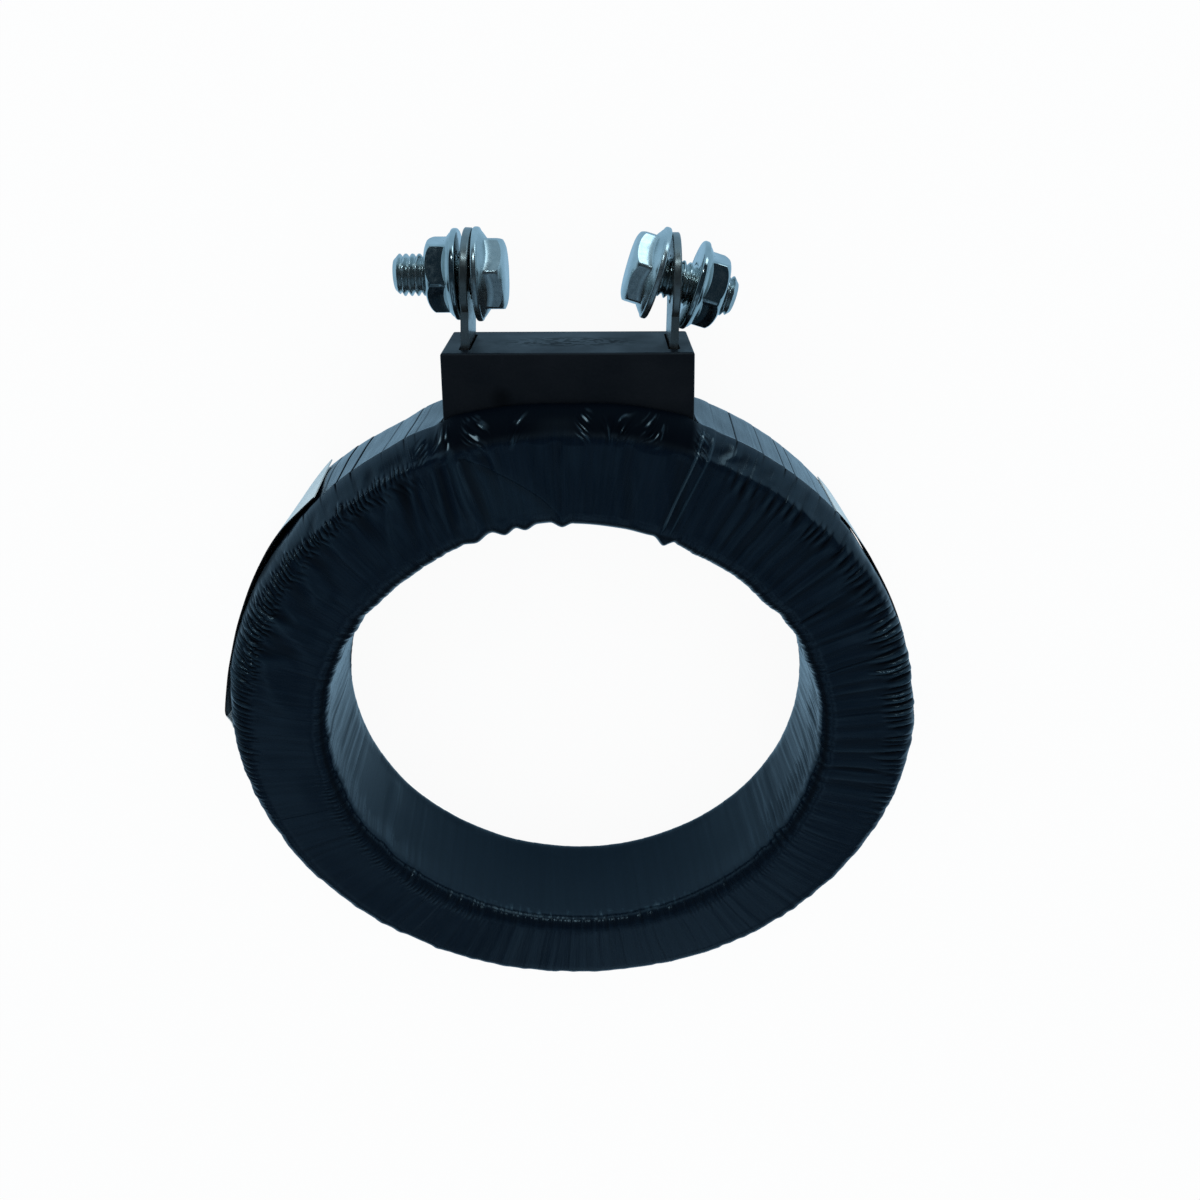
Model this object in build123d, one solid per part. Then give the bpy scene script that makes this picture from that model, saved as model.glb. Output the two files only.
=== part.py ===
"""Window-type current transformer: a tape-wrapped ring with a moulded terminal block.

Frame: millimetres, origin at the centre of the window at mid-width, +Z along the window
axis towards the front face, +Y from the window towards the terminal block.  The ring
lies on its rear face.
"""
from build123d import *
import math
import os

# ------------------------------------------------------------------ driving sizes (mm, degrees)
# ring
WINDOW_R = 45.0          # clear radius of the window
CORE_BUILD = 9.6         # core, radially
CORE_W = 15.8            # core, along the window axis
BOARD_T = 0.8            # pressboard round the core
COIL_BORE_T = 2.4        # winding build-up inside the core
COIL_SIDE_T = 2.0        # winding build-up on each face
COIL_OUTER_T = 1.8       # winding build-up outside the core
FILM_T = 0.3             # polyester film over the winding
TAPE_T = 1.0             # built-up outer tape
OUTER_CORNER = 4.5       # radius of the finished ring's outer corners
INNER_CORNER = 3.0       # radius of its corners at the window

# wraps of the outer tape
WRAP_COUNT = 72          # overlapping wraps in a full turn of the ring
WRAP_STEP = 0.2          # height of one wrap's edge
WRAP_SKEW = 5.0          # slant of the wraps across the ring's width
PRESSED = 0.3            # how far the rear of the wraps is pressed flat
BUILD_UP = 0.8           # extra tape on the outside where the binding ends
BUILD_UP_ANGLE = 25.0    # it thins out over this angle

# tape that binds the block down
BIND_OVERLAP = 2.3       # along the ring, past each of the block's feet
BIND_RISE = 0.3          # how far it stands over the ring's outer radius

# moulded terminal block
BLOCK_RISE = 8.7         # its top above the ring
BLOCK_LENGTH = 38.0      # at the top
BLOCK_DEPTH = 14.6       # at the top
BLOCK_DRAFT = 2.0        # moulding draft
BLOCK_WALL = 1.6
BLOCK_ROOF = 2.0
BLOCK_EDGE = 0.4         # rounding of the upper edges
RIB_T = 1.6              # rib across the middle of the hollow
FOOT_LENGTH = 2.6        # each foot, beyond the block's end
FOOT_T = 0.7
FOOT_INSET = 0.8         # each side, from the block's depth

# tab terminals
TAB_INSET = 3.15         # each tab's middle from the block's end
TAB_SHIFT = 0.25         # the pair's offset from the block's middle
TAB_T = 1.2
TAB_SIDE = 2.5           # each side of the strip, from the block's depth
TAB_RIM = 3.1            # round the hole
TAB_EDGE = 0.25          # rounding of the sheared edges
TAB_HOLE_CLEAR = 0.5     # hole over the bolt's thread, on the radius
TAB_HOLE_RISE = 10.0     # hole above the block's top, for the tab that is fully up
TAB_FOOT = 6.4           # length of the bent foot, past the strip
TAB_BEND = 0.3           # inside bend radius
SLOT_CLEAR = 0.3         # round the tab in its slot
LEFT_TAB_LEAN = 4.0      # the left blade leans towards the block's middle
RIGHT_TAB_DROP = 0.8     # the right tab sits this much deeper in its slot

# leads from the winding to the tabs
LEAD_R = 0.6
LEAD_INSET = 4.6         # from the tab's middle towards the block's middle
LEAD_CLEAR = 0.1
SLEEVE_T = 0.4
SLEEVE_GAP = 1.0         # bare lead left under the tab's foot

# M6 flange bolts and nuts
THREAD_R = 3.0
BOLT_LENGTH = 12.0       # under the head
HEX_FLATS = 9.8
HEX_CHAMFER = 55.0       # angle of the chamfer on the corners
HEX_FACE_INSET = 0.3     # flat end inside the flats
HEAD_LIP = 1.8           # bolt's flange beyond the flats
NUT_LIP = 1.6            # nut's flange beyond the flats
FLANGE_RIM = 1.0
FLANGE_EDGE = 0.3        # rounding of the rim
FLANGE_CONE = 1.1        # height of the cone from rim to hexagon
HEAD_HEIGHT = 5.0
NUT_HEIGHT = 5.1
NUT_SINK = 0.4           # countersinks of the nut's bore
END_CHAMFER = 0.8
THREAD_CLEAR = 0.05      # nut on bolt, on the radius
SEAT_CLEAR = 0.05        # flange to tab
RIGHT_BOLT_TILT = 16.7   # the loose bolt hangs by this in its hole
LEFT_HEAD_TURN = 12.0    # turn of each hexagon's corner from the front, towards +Y
LEFT_NUT_TURN = -5.0
RIGHT_HEAD_TURN = 13.0
RIGHT_NUT_TURN = -7.0

# film labels on the outside of the ring
LABEL_LENGTH = 52.0
LABEL_WIDTH = 15.0
LABEL_T = 0.2
LABEL_FRONT = 6.5        # front edge above mid-width
LABEL_GAP = 0.1
LEFT_LABEL_ANGLE = 64.0  # where each touches the ring, from the block
RIGHT_LABEL_ANGLE = 62.0
LEFT_LABEL_BEND = 100.0  # radius that the springy film keeps
RIGHT_LABEL_BEND = 70.0

# ------------------------------------------------------------------ sizes that follow
BOARD_IN = WINDOW_R + TAPE_T + FILM_T + COIL_BORE_T
BOARD_OUT = BOARD_IN + CORE_BUILD + 2 * BOARD_T
BOARD_W = CORE_W + 2 * BOARD_T
COIL_R = BOARD_OUT + COIL_OUTER_T
FILM_R = COIL_R + FILM_T                     # outside of the film, where the block sits
RING_R = FILM_R + TAPE_T                     # outside of the finished ring
RING_W = BOARD_W + 2 * (COIL_SIDE_T + FILM_T + TAPE_T)
BLOCK_TOP = RING_R + BLOCK_RISE
ROOF_Y = BLOCK_TOP - BLOCK_ROOF              # underside of the block's roof
FOOT_REACH = BLOCK_LENGTH / 2 + FOOT_LENGTH  # from the block's middle to a foot's end
SADDLE_Y = math.sqrt(COIL_R ** 2 - FOOT_REACH ** 2)      # lower than the block goes on the ring
BIND_HALF_ANGLE = math.degrees(math.asin(FOOT_REACH / FILM_R) + BIND_OVERLAP / FILM_R)
TAB_WIDTH = BLOCK_DEPTH - 2 * TAB_SIDE       # strip
TAB_HOLE_R = THREAD_R + TAB_HOLE_CLEAR
TAB_HEAD_R = TAB_HOLE_R + TAB_RIM            # rounded head round the hole
SIDES = {"left": -1, "right": 1}
TAB_X = {side: sign * (BLOCK_LENGTH / 2 - TAB_INSET) + TAB_SHIFT for side, sign in SIDES.items()}
TAB_LEAN = {"left": LEFT_TAB_LEAN, "right": 0.0}
TAB_DROP = {"left": 0.0, "right": RIGHT_TAB_DROP}
BOLT_TILT = {"left": 0.0, "right": RIGHT_BOLT_TILT}
HEAD_FLANGE_R = HEX_FLATS / 2 + HEAD_LIP
NUT_FLANGE_R = HEX_FLATS / 2 + NUT_LIP
BEHIND = 2 * RING_R                          # longer than anything it has to cut


# ------------------------------------------------------------------ ring layers
def ring_section(r_in, r_out, low, high, corner_in, corner_out):
    """Cross-section of a ring: a rectangle with its own corner radius inside and outside."""
    face = Pos((r_in + r_out) / 2, (low + high) / 2) * Rectangle(r_out - r_in, high - low)
    if corner_in:
        face = fillet(face.vertices().sort_by(Axis.X)[:2], corner_in)
    if corner_out:
        face = fillet(face.vertices().sort_by(Axis.X)[-2:], corner_out)
    return face


def ring(r_in, r_out, width, corner_in=0.0, corner_out=0.0, middle=0.0):
    """Solid ring about the window axis."""
    low = middle - width / 2
    face = ring_section(r_in, r_out, low, low + width, corner_in, corner_out)
    return revolve(Plane.XZ * face, Axis.Z)


def layer_body(depth):
    """Everything of the ring that lies deeper than depth under its finished surface."""
    return ring(WINDOW_R + depth, RING_R - depth, RING_W - 2 * depth,
                INNER_CORNER - depth, OUTER_CORNER - depth)


def sector(half_angle):
    """Wedge of space about +Y, wide enough to cut the whole ring."""
    face = Pos(BEHIND / 2, 0) * Rectangle(BEHIND, BEHIND)
    wedge = revolve(Plane.XZ * face, Axis.Z, revolution_arc=2 * half_angle)
    return Rot(0, 0, 90 - half_angle) * wedge


def window_cutter():
    """The window with its rounded mouths, as a solid to cut away."""
    mouth = RING_W / 2 - INNER_CORNER
    centre_r = WINDOW_R + INNER_CORNER
    reach = RING_W / 2 + OUTER_CORNER

    def lip(turn, side):
        angle = math.radians(180 - turn)
        return (centre_r + INNER_CORNER * math.cos(angle),
                side * (mouth + INNER_CORNER * math.sin(angle)))

    full, half = 80.0, 40.0      # the mouth's arc stops just short of the ring's flat face
    top = lip(full, 1)
    bottom = lip(full, -1)
    outline = Curve() + [
        Line((0, -reach), (bottom[0], -reach)),
        Line((bottom[0], -reach), bottom),
        ThreePointArc(bottom, lip(half, -1), lip(0, -1)),
        Line(lip(0, -1), lip(0, 1)),
        ThreePointArc(lip(0, 1), lip(half, 1), top),
        Line(top, (top[0], reach)),
        Line((top[0], reach), (0, reach)),
        Line((0, reach), (0, -reach)),
    ]
    return revolve(Plane.XZ * make_face(outline), Axis.Z)


def wrap_plane(angle):
    """Plane of a wrap's edge: x points outwards and y leans along the ring by the skew."""
    turn, skew = math.radians(angle), math.radians(WRAP_SKEW)
    outward = Vector(math.cos(turn), math.sin(turn), 0)
    along = Vector(-math.sin(turn), math.cos(turn), 0)
    slanted = along * math.sin(skew) + Vector(0, 0, math.cos(skew))
    return Plane(origin=(0, 0, 0), x_dir=outward, z_dir=outward.cross(slanted))


def build_up(angle):
    """Height of the extra tape on the outside, thickest where the binding ends."""
    from_block = abs((angle + 90) % 360 - 180)
    return BUILD_UP * max(0.0, 1 - abs(from_block - BIND_HALF_ANGLE) / BUILD_UP_ANGLE)


def wrap(index):
    """One wrap of tape: its edge stands over the one before it, and it sinks to the next."""
    pitch = 360 / WRAP_COUNT
    stretch = 1 / math.cos(math.radians(WRAP_SKEW))
    inside = WINDOW_R - TAPE_T

    def edge(angle, lift):
        face = ring_section(inside, RING_R + lift + build_up(angle),
                            -stretch * (RING_W / 2 + PRESSED), stretch * (RING_W / 2 + lift),
                            0, OUTER_CORNER)
        return wrap_plane(angle) * face

    start = index * pitch
    return loft([edge(start, WRAP_STEP), edge(start + pitch, 0)], ruled=True)


def outer_tape():
    """Tape wound round and round the ring, up to the block's binding on either side."""
    wraps = Part() + [wrap(index) for index in range(WRAP_COUNT)]
    rear = Pos(0, 0, -RING_W / 2) * Box(BEHIND, BEHIND, BEHIND,
                                        align=(Align.CENTER, Align.CENTER, Align.MAX))
    return wraps - rear - window_cutter() - layer_body(TAPE_T) - sector(BIND_HALF_ANGLE)


def block_binding_tape():
    """Smooth tape over the block's feet and under its sides, closing the wraps' gap."""
    skin = ring(WINDOW_R, RING_R + BIND_RISE, RING_W, INNER_CORNER, OUTER_CORNER + BIND_RISE)
    skin = (skin - layer_body(TAPE_T)) & sector(BIND_HALF_ANGLE)
    return skin - block_outside() - block_feet()


def winding_film():
    """Film over the winding, with a hole for each lead."""
    film = layer_body(TAPE_T) - layer_body(TAPE_T + FILM_T)
    for side in SIDES:
        film -= lead_rod(side, LEAD_R + LEAD_CLEAR)
    return film


def secondary_winding():
    """Enamelled wire wound round the boarded core."""
    return layer_body(TAPE_T + FILM_T) - ring(BOARD_IN, BOARD_OUT, BOARD_W)


def core_board_ring(sign):
    """Pressboard ring on one face of the core."""
    return ring(BOARD_IN, BOARD_OUT, BOARD_T, middle=sign * (CORE_W + BOARD_T) / 2)


# ------------------------------------------------------------------ terminal block
def upright(y):
    """Plane facing +Y at a height, with its x along the block."""
    return Plane(origin=(0, y, 0), x_dir=(1, 0, 0), z_dir=(0, 1, 0))


def block_outside():
    """Drafted outside of the block, down past the curve that it sits on."""
    body = extrude(upright(BLOCK_TOP) * Rectangle(BLOCK_LENGTH, BLOCK_DEPTH),
                   SADDLE_Y - BLOCK_TOP, taper=-BLOCK_DRAFT)
    upper = body.edges().group_by(Axis.Y)[-1]
    corners = body.edges().filter_by(lambda edge: abs(edge.tangent_at(0.5).Y) > 0.9)
    return fillet(upper + corners, BLOCK_EDGE)


def block_feet():
    """Thin feet that follow the ring beyond each end of the block."""
    window = Pos(0, RING_R, 0) * Box(2 * FOOT_REACH, RING_R, BLOCK_DEPTH - 2 * FOOT_INSET)
    return ring(FILM_R, FILM_R + FOOT_T, RING_W) & window


def terminal_block():
    """Moulding: a hollow drafted box on a saddle, with feet, a rib and two slots."""
    inside = Rectangle(BLOCK_LENGTH - 2 * BLOCK_WALL, BLOCK_DEPTH - 2 * BLOCK_WALL)
    hollow = extrude(upright(ROOF_Y) * inside, SADDLE_Y - ROOF_Y, taper=-BLOCK_DRAFT)
    rib = Pos(0, (ROOF_Y + SADDLE_Y) / 2, 0) * Box(RIB_T, ROOF_Y - SADDLE_Y, 2 * RING_W)
    block = block_outside() + block_feet() - (hollow - rib)
    for x in TAB_X.values():
        block -= Pos(x, BLOCK_TOP, 0) * Box(TAB_T + 2 * SLOT_CLEAR, 2 * BLOCK_ROOF + TAB_T,
                                            TAB_WIDTH + 2 * SLOT_CLEAR)
    return block - layer_body(TAPE_T)


def foot_y(side):
    """Height of the underside of a tab's bent foot."""
    return ROOF_Y - TAB_T - TAB_DROP[side]


def blade_axes(side):
    """Directions up a tab's blade and out of its face towards the block's middle."""
    inward, lean = -SIDES[side], math.radians(TAB_LEAN[side])
    up = Vector(inward * math.sin(lean), math.cos(lean), 0)
    face = Vector(inward * math.cos(lean), -math.sin(lean), 0)
    return up, face


def hole_centre(side):
    """Middle of the hole in a tab, at half the tab's thickness."""
    up, _ = blade_axes(side)
    return Vector(TAB_X[side], BLOCK_TOP - TAB_DROP[side], 0) + up * TAB_HOLE_RISE


def tab(side):
    """Tab terminal: strip with a rounded head round its hole and a foot bent under the roof."""
    up, face = blade_axes(side)
    centre, low = hole_centre(side), foot_y(side)

    def along(start, height):
        return start + up * ((height - start.Y) / up.Y)

    inner_line, outer_line = centre + face * (TAB_T / 2), centre - face * (TAB_T / 2)
    inner, outer = along(inner_line, low + TAB_T), along(outer_line, low)
    tip = up * (2 * TAB_HEAD_R)
    foot = Vector(TAB_X[side] - SIDES[side] * (TAB_T / 2 + TAB_FOOT), low, 0)
    bent = make_face(Polyline(inner, inner_line + tip, outer_line + tip, outer, foot,
                              foot + Vector(0, TAB_T, 0), close=True))
    bent = fillet(bent.vertices().sort_by_distance(inner)[0], TAB_BEND)
    bent = fillet(bent.vertices().sort_by_distance(outer)[0], TAB_BEND + TAB_T)
    strip_length = TAB_HOLE_RISE + BLOCK_RISE
    outline = Pos(-strip_length / 2, 0) * Rectangle(strip_length, TAB_WIDTH)
    outline += Circle(TAB_HEAD_R)
    outline = Plane(origin=centre, x_dir=up, z_dir=face) * (outline - Circle(TAB_HOLE_R))
    body = extrude(bent, TAB_HEAD_R, both=True) & extrude(outline, BLOCK_LENGTH, both=True)
    return fillet(head_arcs(body, centre), TAB_EDGE)


def head_arcs(body, centre):
    """The two long arcs round a tab's head."""
    arcs = body.edges().filter_by(GeomType.CIRCLE)
    return arcs.filter_by(lambda edge: abs(edge.radius - TAB_HEAD_R) < TAB_EDGE
                          and abs(edge.arc_center - centre) < TAB_T)


# ------------------------------------------------------------------ leads
def lead_rod(side, radius):
    """Straight rod along a lead's line, from inside the winding to under the tab's foot."""
    x = TAB_X[side] - SIDES[side] * LEAD_INSET
    return Pos(x, 0, 0) * extrude(upright(SADDLE_Y) * Circle(radius), foot_y(side) - SADDLE_Y)


def lead(side):
    """Winding end, standing from the winding up to the tab's foot."""
    return lead_rod(side, LEAD_R) - layer_body(TAPE_T + FILM_T)


def lead_sleeve(side):
    """Sleeve over the lead, from the film to just under the soldered end."""
    tube = lead_rod(side, LEAD_R + LEAD_CLEAR + SLEEVE_T) - lead_rod(side, LEAD_R + LEAD_CLEAR)
    bare = Pos(0, foot_y(side) - SLEEVE_GAP, 0) * Box(BEHIND, BEHIND, BEHIND,
                                                    align=(Align.CENTER, Align.MIN, Align.CENTER))
    return tube - layer_body(TAPE_T) - bare


# ------------------------------------------------------------------ M6 hardware
# Bolt and nut are drawn along +X, seated at x = 0: the bolt's shank runs to +X and the
# nut's hexagon stands towards +X.
def about_x(profile):
    """Turn a profile in (x, radius) about the X axis."""
    return revolve(Plane.XY * profile, Axis.X)


def hexagon(length, turn):
    """Hexagonal prism from x = 0 to x = length, its corner turned from +Z."""
    plane = Plane(origin=(0, 0, 0), x_dir=(0, 0, 1), z_dir=(1, 0, 0))
    outline = Rot(0, 0, -turn) * RegularPolygon(HEX_FLATS / 2, 6, major_radius=False)
    return extrude(plane * outline, length)


def flanged_hexagon(height, flange_r, turn):
    """Hexagon with chamfered corners on a coned flange, seated at x = 0."""
    face_r = HEX_FLATS / 2 - HEX_FACE_INSET
    drop = (flange_r - face_r) * math.tan(math.radians(HEX_CHAMFER))
    bevel = make_face(Polyline((0, 0), (0, flange_r), (height - drop, flange_r), (height, face_r),
                               (height, 0), close=True))
    cone = make_face(Polyline((0, 0), (0, flange_r), (FLANGE_RIM, flange_r),
                              (FLANGE_RIM + FLANGE_CONE, HEX_FLATS / 2), (FLANGE_RIM + FLANGE_CONE, 0),
                              close=True))
    rims = cone.vertices().sort_by(Axis.Y)[-2:]
    cone = fillet(rims, FLANGE_EDGE)
    return (hexagon(height, turn) & about_x(bevel)) + about_x(cone)


def flange_bolt(turn):
    """Flange bolt with its seat at x = 0 and a plain cylinder for the thread."""
    shank = make_face(Polyline((0, 0), (0, THREAD_R), (BOLT_LENGTH - END_CHAMFER, THREAD_R),
                               (BOLT_LENGTH, THREAD_R - END_CHAMFER), (BOLT_LENGTH, 0), close=True))
    head = Rot(0, 180, 0) * flanged_hexagon(HEAD_HEIGHT, HEAD_FLANGE_R, turn)
    return head + about_x(shank)


def flange_nut(turn):
    """Flange nut with a countersunk plain bore for the thread."""
    bore = THREAD_R + THREAD_CLEAR
    hole = make_face(Polyline((0, 0), (0, bore + NUT_SINK), (NUT_SINK, bore),
                              (NUT_HEIGHT - NUT_SINK, bore), (NUT_HEIGHT, bore + NUT_SINK),
                              (NUT_HEIGHT, 0), close=True))
    return flanged_hexagon(NUT_HEIGHT, NUT_FLANGE_R, turn) - about_x(hole)


def bolted(side, piece, distance):
    """Carry a piece to a tab's hole, its seat at a distance outwards along the bolt."""
    outward = SIDES[side]
    place = Pos(hole_centre(side)) * Rot(0, 0, -outward * BOLT_TILT[side])
    turned = piece if outward > 0 else Rot(0, 180, 0) * piece
    return place * Pos(outward * distance, 0, 0) * turned


def seat_distances(side):
    """Distances of the bolt's and the nut's seat from the middle of the tab, along the bolt.

    Where the bolt isn't square to the blade, the head leans on the blade's rounded top and the
    nut's rim on the blade's outer face below the hole.
    """
    face = TAB_T / 2 + SEAT_CLEAR
    tilt, lean = math.radians(BOLT_TILT[side]), math.radians(TAB_LEAN[side])
    head = face * math.cos(tilt) + TAB_HEAD_R * math.sin(tilt)
    nut = (face + NUT_FLANGE_R * math.sin(tilt)) / math.cos(tilt)
    head += TAB_HEAD_R * math.sin(lean)
    nut += NUT_FLANGE_R * math.tan(lean)
    return -head, nut


# ------------------------------------------------------------------ labels
def label(angle, bend):
    """Film label that touches the ring at an angle from the block and keeps a wider curve."""
    contact = RING_R + WRAP_STEP + LABEL_GAP
    spread = math.degrees(LABEL_LENGTH / bend)
    section = Pos(bend + LABEL_T / 2, LABEL_FRONT - LABEL_WIDTH / 2) * Rectangle(LABEL_T, LABEL_WIDTH)
    strip = revolve(Plane.XZ * section, Axis.Z, revolution_arc=spread)
    return Rot(0, 0, 90 + angle) * Pos(contact - bend, 0, 0) * Rot(0, 0, -spread / 2) * strip


# ------------------------------------------------------------------ assembly
def build():
    """Every piece of the transformer by its node's name."""
    pieces = {
        "core": ring(BOARD_IN + BOARD_T, BOARD_OUT - BOARD_T, CORE_W),
        "core_board_front": core_board_ring(1),
        "core_board_rear": core_board_ring(-1),
        "core_board_inner": ring(BOARD_IN, BOARD_IN + BOARD_T, CORE_W),
        "core_board_outer": ring(BOARD_OUT - BOARD_T, BOARD_OUT, CORE_W),
        "secondary_winding": secondary_winding(),
        "winding_film": winding_film(),
        "outer_tape": outer_tape(),
        "block_binding_tape": block_binding_tape(),
        "terminal_block": terminal_block(),
        "label_left": label(LEFT_LABEL_ANGLE, LEFT_LABEL_BEND),
        "label_right": label(-RIGHT_LABEL_ANGLE, RIGHT_LABEL_BEND),
    }
    turns = {"left": (LEFT_HEAD_TURN, LEFT_NUT_TURN), "right": (RIGHT_HEAD_TURN, RIGHT_NUT_TURN)}
    for side, outward in SIDES.items():
        bolt_seat, nut_seat = seat_distances(side)
        head_turn, nut_turn = turns[side]
        pieces[f"terminal_tab_{side}"] = tab(side)
        pieces[f"lead_{side}"] = lead(side)
        pieces[f"lead_sleeve_{side}"] = lead_sleeve(side)
        pieces[f"flange_bolt_{side}"] = bolted(side, flange_bolt(-outward * head_turn), bolt_seat)
        pieces[f"flange_nut_{side}"] = bolted(side, flange_nut(outward * nut_turn), nut_seat)
    return pieces


os.makedirs("parts", exist_ok=True)
for name, piece in build().items():
    export_step(piece, f"parts/{name}.step")
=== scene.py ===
"""Looks of a tape-wrapped window-type current transformer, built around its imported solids.

Lengths are worked out in millimetres in the part's own frame (origin at the window's centre,
+Z along the window axis, +Y towards the terminal block) and go into the meshes in metres.
"""

import math

import bpy
import numpy as np
from mathutils import Euler, Matrix, Vector

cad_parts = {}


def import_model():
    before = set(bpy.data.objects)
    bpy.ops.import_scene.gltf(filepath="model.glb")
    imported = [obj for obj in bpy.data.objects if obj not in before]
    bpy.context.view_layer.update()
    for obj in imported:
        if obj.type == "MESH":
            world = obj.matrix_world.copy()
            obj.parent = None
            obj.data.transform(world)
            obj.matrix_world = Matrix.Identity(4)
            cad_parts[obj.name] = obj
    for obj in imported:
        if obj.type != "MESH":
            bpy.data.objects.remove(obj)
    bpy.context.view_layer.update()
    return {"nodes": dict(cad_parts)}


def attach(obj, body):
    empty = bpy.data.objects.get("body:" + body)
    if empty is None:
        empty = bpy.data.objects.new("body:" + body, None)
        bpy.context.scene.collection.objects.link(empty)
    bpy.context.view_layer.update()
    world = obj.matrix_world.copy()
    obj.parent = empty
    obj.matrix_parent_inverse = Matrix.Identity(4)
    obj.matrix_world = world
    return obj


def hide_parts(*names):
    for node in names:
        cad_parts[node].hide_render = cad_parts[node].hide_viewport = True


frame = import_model()

MM = 0.001

# ---------------- sizes (mm), as in the part but for the three that say so
WINDOW_R, RING_R, RING_W = 45.0, 63.0, 24.0
OUTER_CORNER, INNER_CORNER = 4.5, 3.0
BIND_HALF = 22.5                 # degrees of ring that the block's binding covers, each way
BIND_RISE = 0.3
BUILD_UP, BUILD_UP_ANGLE = 0.8, 25.0
TAPE_T = 1.0
FILM_R = 62.0
BLOCK_TOP, BLOCK_LENGTH, BLOCK_DEPTH, BLOCK_DRAFT = 71.7, 38.0, 14.6, 2.0
TAB_X = {"left": -15.6, "right": 16.1}
TAB_LEAN = {"left": 4.0, "right": 0.0}
TAB_DROP = {"left": 0.0, "right": 0.8}
TAB_HOLE_RISE, TAB_T, TAB_HEAD_R = 10.0, 1.2, 6.6
THREAD_R, BOLT_LENGTH, THREAD_PITCH, THREAD_DEPTH = 3.0, 12.0, 1.0, 0.55
HEX_FLATS = 9.8
HEX_END_R, HEX_ROUND_R, HEX_ROUND = 3.4, 5.72, 1.9      # rounded end: flat, full radius, depth
HEAD_FLANGE_R, NUT_FLANGE_R = 6.7, 6.5
FLANGE_RIM, FLANGE_CONE, NUT_SINK, END_CHAMFER = 1.0, 1.1, 0.4, 0.8
FLANGE_EDGE, HEAD_HEIGHT, NUT_HEIGHT = 0.35, 4.75, 5.0  # 0.3, 5.0 and 5.1 in the part
THREAD_CLEAR, SEAT_CLEAR = 0.05, 0.05
BOLT_TILT = {"left": 0.0, "right": 16.7}
HEAD_TURN = {"left": 12.0, "right": 13.0}
NUT_TURN = {"left": -5.0, "right": -7.0}
LABEL_T, LABEL_FRONT, LABEL_WIDTH = 0.2, 6.5, 15.0
LABEL_STEPS = 220
FLOOR_Z = -RING_W / 2


# ---------------- numbers on arrays
def fade(x, start, end):
    """Smooth step: 0 before start, 1 after end, 3t^2 - 2t^3 between."""
    t = np.clip((x - start) / (end - start), 0.0, 1.0)
    return t * t * (3 - 2 * t)


def span(x, start, full, last, end):
    """0 before start, 1 from full to last and 0 after end, with smooth steps between."""
    return fade(x, start, full) * (1 - fade(x, last, end))


def bump(x, middle, half):
    """1 at middle, falling smoothly to 0 at half away on either side."""
    return 1 - fade(np.abs(x - middle), 0.0, half)


def pick(seed, count, low=-1.0, high=1.0):
    """Seeded draws, one for each of count cells."""
    return np.random.default_rng(seed).uniform(low, high, count)


def ripple(x, cells, seed):
    """Smooth noise of x, which runs over cells and then repeats: cosine blends of cell draws."""
    table = pick(seed, cells)
    cell = np.floor(x).astype(int)
    t = x - cell
    t = t * t * (3 - 2 * t)
    return table[cell % cells] * (1 - t) + table[(cell + 1) % cells] * t


def around_turn(w, count, seed, shift=0.0):
    """Smooth noise of count cells in a full turn of w degrees, moved on by shift cells."""
    return ripple(w / 360 * count + shift, count, seed)


def relief(x, y, cells, seed):
    """Smooth noise of two coordinates: blends of the draws at the four corners of each cell."""
    table = np.random.default_rng(seed).uniform(-1, 1, (cells, cells))
    x, y = np.broadcast_arrays(x, y)
    i, j = np.floor(x).astype(int), np.floor(y).astype(int)
    s, t = x - i, y - j
    s, t = s * s * (3 - 2 * s), t * t * (3 - 2 * t)
    i0, i1, j0, j1 = i % cells, (i + 1) % cells, j % cells, (j + 1) % cells
    low = table[i0, j0] * (1 - s) + table[i1, j0] * s
    high = table[i0, j1] * (1 - s) + table[i1, j1] * s
    return low * (1 - t) + high * t


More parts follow.
